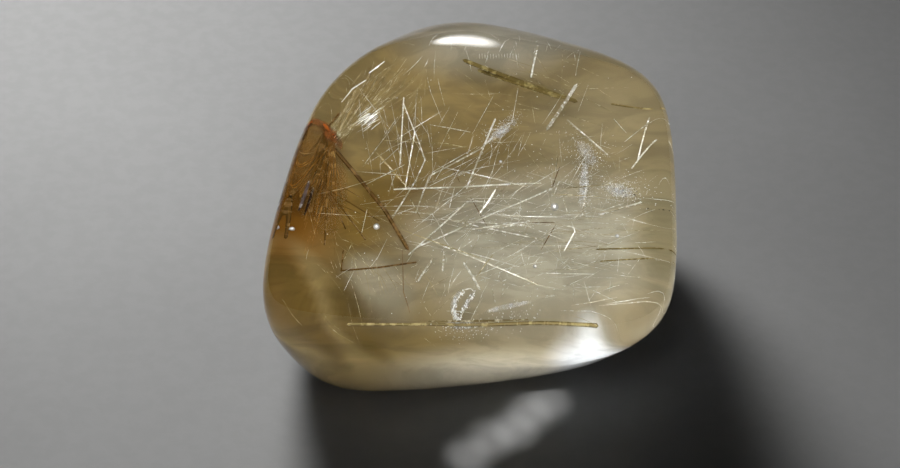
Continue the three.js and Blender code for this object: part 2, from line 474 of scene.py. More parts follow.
@dataclass(frozen=True)
class FloorFinish:
    """The pale studio floor, faintly clouded, with a fine grain, whose depth is in mm."""

    name: str = "studio_floor"
    dark: Colour = (0.19, 0.19, 0.188)
    light: Colour = (0.215, 0.215, 0.213)
    cloud_scale: float = 22.0
    grain_scale: float = 900.0
    grain_detail: float = 2.0
    grain_depth: float = 0.01
    grain_strength: float = 0.5
    roughness: Span = (0.5, 0.65)

    def material(self) -> bpy.types.Material:
        """Returns the finish's material."""
        material, bench, shader, _ = fresh_material(self.name, {})
        clouds = add_mottle(bench, self.cloud_scale)
        bench.link(bench.mix(clouds, self.dark, self.light), shader.inputs["Base Color"])
        grain = add_mottle(bench, self.grain_scale, self.grain_detail)
        bench.link(bench.span(grain, (0.0, 1.0), self.roughness), shader.inputs["Roughness"])
        relief = {"Strength": self.grain_strength, "Distance": self.grain_depth * MM}
        bump = bench.add("ShaderNodeBump", relief)
        bench.link(grain, bump.inputs["Height"])
        bench.link(bump.outputs["Normal"], shader.inputs["Normal"])
        return material


def new_piece(name: str, corners: np.ndarray, faces: list, smooth: bool = False) -> bpy.types.Object:
    """Makes a mesh object and puts it in the scene.

    Args:
        name: the piece's name.
        corners: vertices in metres, in the part's frame.
        faces: lists of vertex numbers.
        smooth: whether the faces are shaded smooth.

    Returns:
        The new object.
    """
    mesh = bpy.data.meshes.new(name)
    mesh.from_pydata(corners.tolist(), [], faces)
    mesh.polygons.foreach_set("use_smooth", np.full(len(mesh.polygons), smooth))
    mesh.update()
    piece = bpy.data.objects.new(name, mesh)
    bpy.context.scene.collection.objects.link(piece)
    return piece


def dress(piece: bpy.types.Object, material: bpy.types.Material) -> None:
    """Gives a new piece its material and the body that it rides on."""
    piece.data.materials.clear()
    piece.data.materials.append(material)
    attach(piece, BODY)
    LOG.info("%s: %d faces", piece.name, len(piece.data.polygons))


def unit(rows: np.ndarray) -> np.ndarray:
    """Returns vectors, which lie along the last axis, brought to length 1."""
    return rows / np.linalg.norm(rows, axis=-1, keepdims=True)


def strew(rng: np.random.Generator, centre: Sequence, spread: Sequence | float, count: int) -> np.ndarray:
    """Strews points by seeded chance, about one centre or about a centre each."""
    return np.asarray(centre) + rng.normal(size=(count, 3)) * np.asarray(spread)


def along_path(path: Sequence, steps: np.ndarray) -> np.ndarray:
    """Finds places on a path of straight runs.

    Args:
        path: the points that it bends at.
        steps: how far along each place is, counted in bends.

    Returns:
        One row for each place.
    """
    bends = np.array(path)
    return np.stack([np.interp(steps, np.arange(len(bends)), side) for side in bends.T], axis=1)


def tube_faces(rings: np.ndarray) -> list:
    """Joins rings of corners in closed tubes.

    Args:
        rings: the corners' numbers, by tube, ring and place round the ring.

    Returns:
        The faces of the walls and of both ends.
    """
    near, far = rings[:, :-1], rings[:, 1:]
    walls = np.stack([near, far, np.roll(far, -1, axis=2), np.roll(near, -1, axis=2)], axis=-1)
    ends = np.concatenate([rings[:, 0], rings[:, -1, ::-1]])
    return walls.reshape(-1, 4).tolist() + ends.tolist()


@dataclass(frozen=True)
class WornFace:
    """One worn face of the pebble: the way it looks, in degrees, and its reach from the middle, in mm."""

    turn: float
    tilt: float
    reach: float

    @property
    def normal(self) -> np.ndarray:
        """The unit vector that the face looks along."""
        turn, tilt = math.radians(self.turn), math.radians(self.tilt)
        return np.array([math.cos(turn) * math.cos(tilt), math.sin(turn) * math.cos(tilt), math.sin(tilt)])


WINDOW = WornFace(-90, 62, 6.8)
WORN_FACES = {
    "window": WINDOW,
    "crown": WornFace(66, 76, 9.7),
    "back": WornFace(64, 40, 12.3),
    "back_left": WornFace(124, 43, 12.1),
    "left_shoulder": WornFace(152, 26, 11.8),
    "left": WornFace(172, 8, 11.5),
    "right": WornFace(-2, 0, 12.3),
    "right_back": WornFace(20, 22, 14.4),
    "front_right": WornFace(-41, -38, 13.0),
    "front": WornFace(-93, 0, 11.9),
    "front_foot": WornFace(-80, -49, 11.2),
    "front_left": WornFace(-150, -30, 15.0),
    "base": WornFace(0, -90, 8.6),
    "back_low": WornFace(80, -14, 11.0),
    "back_foot": WornFace(95, -48, 10.8),
    "left_foot": WornFace(170, -46, 11.8),
    "right_foot": WornFace(15, -46, 12.0),
}


def ball_ways(splits: int) -> tuple[np.ndarray, list]:
    """Spreads directions evenly over a ball.

    Args:
        splits: how often the ball's faces are split in four.

    Returns:
        The directions, and the faces that join them.
    """
    ball = bmesh.new()
    bmesh.ops.create_icosphere(ball, subdivisions=splits, radius=1.0)
    ways = np.array([vertex.co for vertex in ball.verts])
    faces = [[vertex.index for vertex in face.verts] for face in ball.faces]
    ball.free()
    return unit(ways), faces


@dataclass(eq=False)
class Pebble:
    """The clear quartz, and the frames that things inside it are placed in. Sizes are in mm."""

    edge_sharpness: float = 11.0
    foot_depth: float = 7.4
    foot_sharpness: float = 28.0
    skin_splits: int = 7
    parting_depth: float = 3.6
    ripple_count: int = 40
    ripple_height: float = 0.012
    ripple_lengths: Span = (3.0, 7.0)
    ripple_seed: int = 5

    def __post_init__(self) -> None:
        """Works out the skin and where the pebble's middle is in the part's frame."""
        self.normals = np.array([face.normal for face in WORN_FACES.values()])
        self.reaches = np.array([face.reach for face in WORN_FACES.values()])
        ways, self.faces = ball_ways(self.skin_splits)
        self.skin = ways * self.skin_reach(ways)[:, None]
        low, high = self.skin.min(axis=0), self.skin.max(axis=0)
        self.middle = np.array([-(low[0] + high[0]) / 2, -(low[1] + high[1]) / 2, self.foot_depth])

    def closeness(self, points: np.ndarray) -> np.ndarray:
        """How near points are to the worn faces, leaving out the foot: 0 at the middle, 1 on the skin.

        Args:
            points: places in mm about the pebble's middle.

        Returns:
            One number for each point.
        """
        shares = np.maximum(0.0, points @ self.normals.T) / self.reaches
        return (shares**self.edge_sharpness).sum(axis=1) ** (1.0 / self.edge_sharpness)

    def ripples(self, points: np.ndarray) -> np.ndarray:
        """Returns the low waves that tumbling leaves on the skin at each point, in mm."""
        rng = np.random.default_rng(self.ripple_seed)
        ways = unit(rng.normal(size=(self.ripple_count, 3)))
        pitch = math.tau / rng.uniform(*self.ripple_lengths, self.ripple_count)
        starts = rng.uniform(0.0, math.tau, self.ripple_count)
        waves = np.sin(points @ (ways * pitch[:, None]).T + starts)
        return waves.sum(axis=1) * self.ripple_height / math.sqrt(self.ripple_count / 2)

    def skin_reach(self, ways: np.ndarray) -> np.ndarray:
        """Returns the skin's distance from the middle along each direction, in mm."""
        reach = 1.0 / self.closeness(ways)
        reach += self.ripples(ways * reach[:, None])
        foot = np.maximum(0.0, -ways[:, 2]) / self.foot_depth
        return (reach**-self.foot_sharpness + foot**self.foot_sharpness) ** (-1.0 / self.foot_sharpness)

    def holds(self, routes: np.ndarray, margin: float = 0.95) -> np.ndarray:
        """Tells which routes stay inside the quartz.

        Args:
            routes: points of each route, in mm about the pebble's middle.
            margin: how close to the skin a route may come, as a share of the way out.

        Returns:
            True or false for each route.
        """
        inside = self.closeness(routes.reshape(-1, 3)).reshape(routes.shape[:2]) < margin
        above_foot = routes[..., 2] > -self.foot_depth * margin
        return (inside & above_foot).all(axis=1)

    def in_part(self, points: np.ndarray) -> np.ndarray:
        """Takes points from mm about the pebble's middle to metres in the part's frame."""
        return (points + self.middle) * MM

    def by_window(self, points: np.ndarray) -> np.ndarray:
        """Takes points laid out on the parting plane to mm about the pebble's middle.

        Args:
            points: x along the window, y up its slope and z out through it, in mm.

        Returns:
            The points about the pebble's middle, in mm.
        """
        out = WINDOW.normal
        along = np.array([1.0, 0.0, 0.0])
        up = np.cross(out, along)
        level = WINDOW.reach - self.parting_depth
        return points[..., 0:1] * along + points[..., 1:2] * up + (points[..., 2:3] + level) * out

    def on_window(self, points: np.ndarray) -> np.ndarray:
        """Takes points the other way, from mm about the pebble's middle to the parting plane's layout."""
        out = WINDOW.normal
        up = np.cross(out, np.array([1.0, 0.0, 0.0]))
        level = WINDOW.reach - self.parting_depth
        return np.stack([points[:, 0], points @ up, points @ out - level], axis=1)

    def build(self) -> bpy.types.Object:
        """Makes the one clear piece that stands for the two halves."""
        piece = new_piece("quartz_pebble", self.in_part(self.skin), self.faces, smooth=True)
        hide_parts("quartz_upper", "quartz_lower")
        dress(piece, QuartzFinish().material())
        return piece


@dataclass
class Hairs:
    """Thin needles before they are meshed: routes in mm on the parting plane, and a radius at each point."""

    routes: np.ndarray
    radii: np.ndarray

    @classmethod
    def join(cls, bundles: list[Hairs]) -> Hairs:
        """Returns several bundles as one."""
        return cls(
            np.concatenate([bundle.routes for bundle in bundles]),
            np.concatenate([bundle.radii for bundle in bundles]),
        )

    def mesh(self, name: str, pebble: Pebble, rng: np.random.Generator) -> bpy.types.Object:
        """Makes the needles that stay inside the quartz, as prisms in one mesh.

        Args:
            name: the piece's name.
            pebble: the quartz that holds them.
            rng: turns each prism about its own length.

        Returns:
            The bundle's object.
        """
        sides, steep = 3, 0.9
        placed = pebble.by_window(self.routes)
        kept = pebble.holds(placed)
        routes, radii = pebble.in_part(placed[kept]), self.radii[kept] * MM
        count, stops, _ = routes.shape
        along = unit(np.gradient(routes, axis=1))
        helper = np.where(np.abs(along[..., 2:3]) < steep, (0.0, 0.0, 1.0), (1.0, 0.0, 0.0))
        across = unit(np.cross(along, helper))
        upward = np.cross(across, along)
        turns = rng.uniform(0.0, math.tau, count)[:, None] + math.tau / sides * np.arange(sides)
        spokes = (
            np.cos(turns)[:, None, :, None] * across[:, :, None, :]
            + np.sin(turns)[:, None, :, None] * upward[:, :, None, :]
        )
        corners = routes[:, :, None, :] + radii[:, :, None, None] * spokes
        rings = np.arange(count * stops * sides).reshape(count, stops, sides)
        return new_piece(name, corners.reshape(-1, 3), tube_faces(rings))


@dataclass(frozen=True)
class Strand:
    """One needle seen in the window: the spots that it runs through, its lift and its radius, in mm."""

    spots: tuple[Spot, ...]
    lift: float = 0.0
    radius: float = 0.036
    stops: int = 5
    view_slope: float = 0.25
    taper: Span = (0.15, 0.85)

    def hairs(self) -> Hairs:
        """Returns the needle, slid along the slope so that it shows at the same spot at any depth."""
        steps = np.linspace(0.0, len(self.spots) - 1.0, self.stops)
        along, up = along_path(self.spots, steps).T
        route = np.stack([along, up - self.view_slope * self.lift, np.full(self.stops, self.lift)], axis=1)
        swell = np.sin(np.linspace(*self.taper, self.stops) * math.pi)
        return Hairs(route[None], (self.radius * swell)[None])


@dataclass(frozen=True)
class Drift:
    """A cloud of fine needles that lie roughly one way, laid out on the parting plane in mm and degrees."""

    centre: Point
    spread: Point
    lean: float
    fan: float
    rise: float
    length: Span
    radius: Span
    count: int
    bow: float = 0.02
    taper: Point = (0.2, 1.0, 0.2)

    def hairs(self, rng: np.random.Generator) -> Hairs:
        """Strews the needles by seeded chance."""
        middles = strew(rng, self.centre, self.spread, self.count)
        lean = np.radians(self.lean + rng.normal(size=self.count) * self.fan)
        rise = np.radians(rng.normal(size=self.count) * self.rise)
        ways = np.stack([np.cos(lean) * np.cos(rise), np.sin(lean) * np.cos(rise), np.sin(rise)], axis=1)
        lengths = rng.uniform(*self.length, self.count)
        bow = rng.normal(size=(self.count, 3)) * self.bow * lengths[:, None]
        steps = np.array([-0.5, 0.0, 0.5])
        routes = middles[:, None, :] + ways[:, None, :] * (steps[None, :, None] * lengths[:, None, None])
        routes[:, 1] += bow
        return Hairs(routes, rng.uniform(*self.radius, self.count)[:, None] * np.array(self.taper))


@dataclass(frozen=True)
class Spray:
    """Fibres that fan out from a root, laid out on the parting plane in mm."""

    root: Point
    root_spread: Point
    tips: Point
    tip_spread: Point
    radius: Span
    count: int
    waver: float = 0.05
    taper: Point = (1.0, 0.9, 0.5)

    def hairs(self, rng: np.random.Generator) -> Hairs:
        """Strews the fibres by seeded chance."""
        roots = strew(rng, self.root, self.root_spread, self.count)
        tips = strew(rng, self.tips, self.tip_spread, self.count)
        middles = strew(rng, (roots + tips) / 2, self.waver, self.count)
        routes = np.stack([roots, middles, tips], axis=1)
        return Hairs(routes, rng.uniform(*self.radius, self.count)[:, None] * np.array(self.taper))


@dataclass(frozen=True)
class Veil:
    """A streak or cloud of grains about a path, laid out on the parting plane in mm."""

    path: tuple[Point, ...]
    spread: Point
    size: Span
    count: int
    flatness: float = 0.35
    tumble: float = 0.3
    lumps: Span = (0.6, 1.3)

    def grains(self, pebble: Pebble, rng: np.random.Generator) -> np.ndarray:
        """Strews the grains, as irregular eight-sided lumps.

        Args:
            pebble: the quartz that holds them.
            rng: the source of their places and shapes.

        Returns:
            The six corners of each grain, in metres.
        """
        steps = rng.uniform(0.0, len(self.path) - 1.0, self.count)
        middles = strew(rng, along_path(self.path, steps), self.spread, self.count)
        sizes = rng.uniform(*self.size, (self.count, 1, 1)) * rng.uniform(*self.lumps, (self.count, 6, 1))
        upright = unit(strew(rng, (0.0, 0.0, 1.0), self.tumble, self.count))
        level = unit(np.cross(upright, rng.normal(size=(self.count, 3))))
        frames = np.stack([level, np.cross(upright, level), upright * self.flatness], axis=1)
        spokes = np.concatenate([frames, -frames], axis=1) * sizes
        placed = pebble.by_window(middles[:, None, :] + spokes)
        return pebble.in_part(placed[pebble.holds(placed)])


GRAIN_FACES = ((0, 1, 2), (1, 3, 2), (3, 4, 2), (4, 0, 2), (1, 0, 5), (3, 1, 5), (4, 3, 5), (0, 4, 5))


def grain_piece(name: str, veils: tuple[Veil, ...], pebble: Pebble, seed: int) -> bpy.types.Object:
    """Makes one piece of several veils of grains.

    Args:
        name: the piece's name.
        veils: the veils that it holds.
        pebble: the quartz that holds them.
        seed: fixes where the grains fall.

    Returns:
        The piece.
    """
    rng = np.random.default_rng(seed)
    corners = np.concatenate([veil.grains(pebble, rng) for veil in veils])
    firsts = np.arange(len(corners))[:, None, None] * corners.shape[1]
    faces = (firsts + np.array(GRAIN_FACES)).reshape(-1, 3)
    return new_piece(name, corners.reshape(-1, 3), faces.tolist())


SILVER_DRIFTS = (
    Drift((-4.5, 2.0, 0.8), (1.6, 2.0, 1.0), 95, 14, 15, (1.5, 4.5), (0.007, 0.018), 28),
    Drift((0.0, -1.5, 0.5), (3.2, 1.8, 1.2), 30, 10, 12, (1.5, 6.0), (0.008, 0.022), 38),
    Drift((1.5, -2.8, 0.3), (3.5, 1.2, 1.2), -6, 8, 10, (1.5, 6.0), (0.008, 0.022), 40),
    Drift((0.5, 0.5, 0.5), (3.0, 2.5, 1.2), 65, 10, 15, (1.0, 4.0), (0.008, 0.024), 50),
    Drift((7.2, -0.4, 0.0), (1.6, 1.6, 1.2), 20, 60, 30, (0.5, 2.0), (0.006, 0.014), 90),
    Drift((6.5, -4.5, -0.6), (2.2, 1.2, 1.0), 0, 20, 12, (1.0, 4.0), (0.008, 0.016), 60),
    Drift((-6.4, 3.6, 0.3), (0.4, 0.25, 0.15), 38, 5, 8, (0.5, 1.3), (0.02, 0.05), 26),
    Drift((3.0, 8.0, -0.3), (3.0, 0.6, 0.4), 80, 20, 10, (0.4, 1.6), (0.01, 0.028), 34),
    Drift((2.0, -6.2, -0.3), (4.5, 0.8, 0.5), 66, 25, 15, (0.4, 1.5), (0.008, 0.02), 64),
    Drift((6.0, -6.6, -0.5), (3.0, 0.7, 0.4), 8, 12, 10, (0.8, 3.0), (0.007, 0.016), 44),
)
GOLD_DRIFTS = (
    Drift((7.0, -4.5, -0.4), (2.5, 1.2, 0.6), 2, 6, 8, (2.0, 6.0), (0.006, 0.014), 40),
    Drift((3.0, 5.5, -0.5), (3.0, 1.2, 0.6), -20, 15, 12, (1.5, 5.0), (0.006, 0.014), 36),
    Drift((0.0, -1.0, -0.6), (6.0, 4.5, 1.0), 20, 90, 25, (1.0, 5.0), (0.005, 0.011), 110),
    Drift((-5.5, 5.5, -0.5), (1.8, 1.0, 0.5), 50, 25, 10, (1.0, 4.0), (0.005, 0.011), 44),
    Drift((-6.6, -5.6, -0.5), (1.8, 1.4, 0.5), -52, 16, 12, (0.8, 3.0), (0.006, 0.014), 60),
    Spray((-8.3, 2.4, -0.4), (0.2, 0.3, 0.2), (-5.8, 6.4, -0.5), (1.4, 0.8, 0.4), (0.005, 0.011), 44),
)
BROWN_SPRAYS = (
    Spray((-8.45, 2.2, -0.5), (0.12, 0.25, 0.15), (-10.2, -2.2, -0.2), (0.55, 1.0, 0.5), (0.006, 0.014), 30),
    Spray((-8.6, 1.2, -0.5), (0.2, 0.5, 0.2), (-8.8, -3.8, 0.0), (0.6, 0.8, 0.4), (0.006, 0.012), 20),
    Spray((-8.7, 1.8, -1.0), (0.3, 0.6, 0.3), (-9.8, -2.6, -0.8), (0.7, 1.3, 0.6), (0.003, 0.007), 30),
)
FROST_VEILS = (
    Veil(((6.7, 1.0, 0.0), (6.5, -1.8, 0.0)), (0.2, 0.3, 0.2), (0.008, 0.028), 420),
    Veil(((6.2, 2.2, 0.1), (7.4, 0.4, 0.0)), (0.6, 0.55, 0.4), (0.007, 0.026), 380),
    Veil(((8.0, -1.0, 0.0), (9.6, -1.3, 0.0)), (0.8, 0.5, 0.4), (0.008, 0.03), 400),
    Veil(((0.8, 2.2, 0.8), (2.6, 3.5, 0.8)), (0.25, 0.2, 0.2), (0.008, 0.026), 320),
    Veil(((-7.0, -2.0, 0.0), (8.0, 1.0, 0.0)), (1.0, 3.0, 1.2), (0.012, 0.04), 260),
    Veil(((-1.8, -9.0, -0.5), (3.6, -8.0, -0.5)), (0.3, 0.25, 0.2), (0.012, 0.03), 160),
    Veil(((-6.0, -8.0, -1.5), (7.0, -8.0, -1.5)), (0.8, 0.7, 1.0), (0.01, 0.025), 40),
    Veil(
        ((-0.6, -7.1, -0.4), (-1.25, -8.0, -0.4), (-0.9, -8.25, -0.4)), (0.06, 0.06, 0.05), (0.02, 0.05), 60
    ),
    Veil(((-0.9, -8.25, -0.4), (0.05, -7.25, -0.4)), (0.06, 0.06, 0.05), (0.02, 0.045), 44),
    Veil(((-1.6, -8.55, -0.2), (0.2, -8.6, -0.2)), (0.2, 0.06, 0.05), (0.02, 0.05), 50),
)
DARK_VEILS = (
    Veil(((8.4, -1.0, 0.1), (9.4, -1.3, 0.1)), (0.4, 0.3, 0.3), (0.015, 0.05), 60),
    Veil(((10.4, -1.5, 0.0), (10.2, -3.0, 0.0)), (0.2, 0.5, 0.3), (0.02, 0.05), 7),
)


@dataclass(frozen=True)
class Film:
    """A thin, soft-edged film seen in the window: its route, half its width and its lift, in mm."""

    spots: tuple[Spot, ...]
    half_width: float
    lift: float
    thickness: float = 0.12
    run: Span = (0.02, 0.98)
    silk_shift: float = 7.0

    def rings(self, stops: int, sides: int) -> tuple[np.ndarray, np.ndarray, np.ndarray]:
        """Lays the film out on the parting plane, as a flattened tube.

        Args:
            stops: how many rings it has along its length.
            sides: how many corners each ring has.

        Returns:
            The corners of each ring, how much of the film shows at each corner, from 0 to 1, and each
            corner's place along and across the film, in mm.
        """
        spots = np.array(self.spots)
        curve = np.polyfit(np.arange(len(spots)), spots, len(spots) - 1)
        share = np.linspace(*self.run, stops)
        route = np.stack([np.polyval(curve[:, axis], share * (len(spots) - 1)) for axis in (0, 1)], axis=1)
        steps = np.gradient(route, axis=0)
        along = unit(steps)
        swell = np.sin(math.pi * share)
        turns = math.tau / sides * np.arange(sides)
        sideways = self.half_width * np.sqrt(swell)[:, None] * np.cos(turns)
        outward = self.thickness * swell[:, None] * np.sin(turns)
        corners = np.stack(
            [
                route[:, 0:1] - along[:, 1:2] * sideways,
                route[:, 1:2] + along[:, 0:1] * sideways - Strand.view_slope * self.lift,
                self.lift + outward,
            ],
            axis=2,
        )
        length = np.linalg.norm(steps, axis=1).cumsum()[:, None]
        silk = np.stack(np.broadcast_arrays(length, sideways, self.silk_shift * self.lift), axis=2)
        return corners, swell[:, None] * np.sin(turns) ** 2, silk


AMBER_FILMS = (
    Film(((-8.9, 3.2), (-9.8, 0.5), (-10.2, -3.0)), 1.1, -0.6),
    Film(((-8.7, 2.0), (-8.9, -1.0), (-8.7, -4.2)), 1.3, -0.9),
)
RUST_FILMS = (
    Film(((-9.46, 4.4), (-9.04, 3.4), (-8.3, 2.3), (-8.1, 1.5)), 0.24, -0.3),
    Film(((-9.0, 3.1), (-8.6, 2.5), (-8.25, 2.0)), 0.32, -0.25),
)
FROST_FILMS = (
    Film(((6.75, 0.9), (6.6, -0.6), (6.4, -2.1)), 0.32, 0.1),
    Film(((6.3, 2.2), (6.8, 1.4), (7.5, 0.4)), 0.45, 0.1),
    Film(((7.8, -0.8), (8.7, -1.1), (9.6, -1.3)), 0.5, 0.1),
    Film(((0.8, 2.2), (1.7, 2.8), (2.6, 3.5)), 0.35, 0.8),
    Film(((-7.0, 3.3), (-6.4, 3.6), (-5.8, 4.0)), 0.4, 0.2),
    Film(((0.5, -8.15), (2.0, -7.98), (3.6, -7.8)), 0.12, -0.5),
    Film(((-1.7, -8.5), (-0.8, -8.6), (0.3, -8.6)), 0.2, -0.2),
    Film(((-0.6, -7.1), (-1.2, -7.8), (-1.1, -8.3)), 0.2, -0.5),
    Film(((-1.0, -8.3), (-0.4, -7.8), (0.1, -7.2)), 0.16, -0.5),
)


@dataclass(frozen=True)
class HazeFilms:
    """The soft films of amber fibre, rust and frost inside the quartz."""

    stops: int = 24
    sides: int = 16
    margin: float = 0.95

    def build(self, pebble: Pebble) -> None:
        """Makes and dresses the films, one piece for each finish."""
        kinds = (
            (AMBER_FILMS, AMBER_HAZE, Slot.BROWN),
            (RUST_FILMS, RUST_HAZE, Slot.BROWN),
            (FROST_FILMS, FROST_HAZE, Slot.PALE),
        )
        for films, finish, slot in kinds:
            laid = zip(*(film.rings(self.stops, self.sides) for film in films))
            rings, shows, silk = (np.stack(side) for side in laid)
            placed = pebble.by_window(rings.reshape(-1, 3))
            placed *= np.minimum(1.0, self.margin / pebble.closeness(placed))[:, None]
            numbers = np.arange(len(placed)).reshape(len(films), self.stops, self.sides)
            faces = tube_faces(numbers[:, :, ::-1])
            piece = new_piece(finish.name, pebble.in_part(placed), faces, smooth=True)
            lay_dust(piece, shows, silk)
            dress(piece, finish.material())


@dataclass(frozen=True)
class Patch:
    """A soft-edged area of the cloud, on the parting plane: its place in mm and degrees, tint and cover."""

    middle: Spot
    half_axes: Spot
    tint: Colour
    cover: float
    lean: float = 0.0
    edge: Span = (0.35, 1.2)

    def share(self, places: np.ndarray) -> np.ndarray:
        """Returns how much of the patch shows at each place, from 0 to 1."""
        lean = math.radians(self.lean)
        axes = np.array([(math.cos(lean), math.sin(lean)), (-math.sin(lean), math.cos(lean))])
        across = (places[:, :2] - np.array(self.middle)) @ axes.T / np.array(self.half_axes)
        step = np.clip((self.edge[1] - np.hypot(*across.T)) / (self.edge[1] - self.edge[0]), 0.0, 1.0)
        return step * step * (3.0 - 2.0 * step)


@dataclass(frozen=True)
class HazeCloud:
    """The dust-fine rutile that fills the quartz behind the needles, laid out on the parting plane in mm;
    some patches at the front are painted light.
    """

    reach: float = 0.95
    ceiling: float = -1.0
    edge_sharpness: float = 1.6
    splits: int = 7
    tint: Colour = (0.23, 0.16, 0.06)
    cover: float = 0.86
    patches: tuple[Patch, ...] = (
        Patch((8.0, 2.5), (6.0, 6.0), (0.275, 0.213, 0.11), 0.82),
        Patch((1.5, 8.8), (6.5, 2.6), (0.36, 0.315, 0.23), 0.8),
        Patch((-6.0, -2.5), (4.0, 4.0), (0.22, 0.135, 0.03), 0.84),
        Patch((-8.0, -8.0), (5.0, 4.0), (0.11, 0.073, 0.024), 0.93),
        Patch((-8.0, -12.5), (6.0, 3.4), (0.34, 0.24, 0.1), 0.84),
        Patch((-11.5, -1.5), (4.0, 6.5), (0.15, 0.062, 0.006), 0.94),
        Patch((-9.8, -7.6), (4.6, 0.9), (0.1, 0.06, 0.013), 0.93, -58.0),
        Patch((-8.3, -7.4), (4.6, 0.8), (0.22, 0.155, 0.06), 0.93, -54.0),
        Patch((-7.0, -8.4), (3.8, 0.8), (0.11, 0.07, 0.018), 0.93, -48.0),
        Patch((-5.6, -6.4), (2.6, 1.4), (0.32, 0.27, 0.18), 0.86, -30.0),
        # Partly painted light: the cloud along the front is tinted pale to stand for light seen through the
        # front wall.
        Patch((4.0, -12.6), (9.5, 3.8), (0.8, 0.71, 0.52), 0.84),
        Patch((4.2, -4.2), (9.5, 5.0), (0.54, 0.49, 0.37), 0.7),
        Patch((11.2, -3.5), (2.2, 5.0), (0.3, 0.245, 0.135), 0.8),
        # Painted glow: two near-white patches that stand for light shining out through the lower right of
        # the front wall.
        Patch((6.8, -8.9), (0.9, 1.0), (0.95, 0.94, 0.9), 0.9),
        Patch((6.7, -10.3), (2.5, 2.2), (0.98, 0.98, 0.97), 0.98),
    )

    def build(self, pebble: Pebble) -> None:
        """Makes and dresses the cloud, whose skin follows the pebble's and is flat behind the needles."""
        finish = CloudFinish()
        ways, faces = ball_ways(self.splits)
        places = pebble.on_window(ways * (pebble.skin_reach(ways) * self.reach)[:, None])
        above = self.edge_sharpness * (places[:, 2] - self.ceiling)
        places[:, 2] -= np.logaddexp(0.0, above) / self.edge_sharpness
        tints = np.tile(self.tint, (len(places), 1))
        covers = np.full(len(places), self.cover)
        for patch in self.patches:
            share = patch.share(places)
            tints += (np.array(patch.tint) - tints) * share[:, None]
            covers += (patch.cover - covers) * share
        piece = new_piece(finish.name, pebble.in_part(pebble.by_window(places)), faces, smooth=True)
        lay_dust(piece, covers, places, tints)
        dress(piece, finish.material())


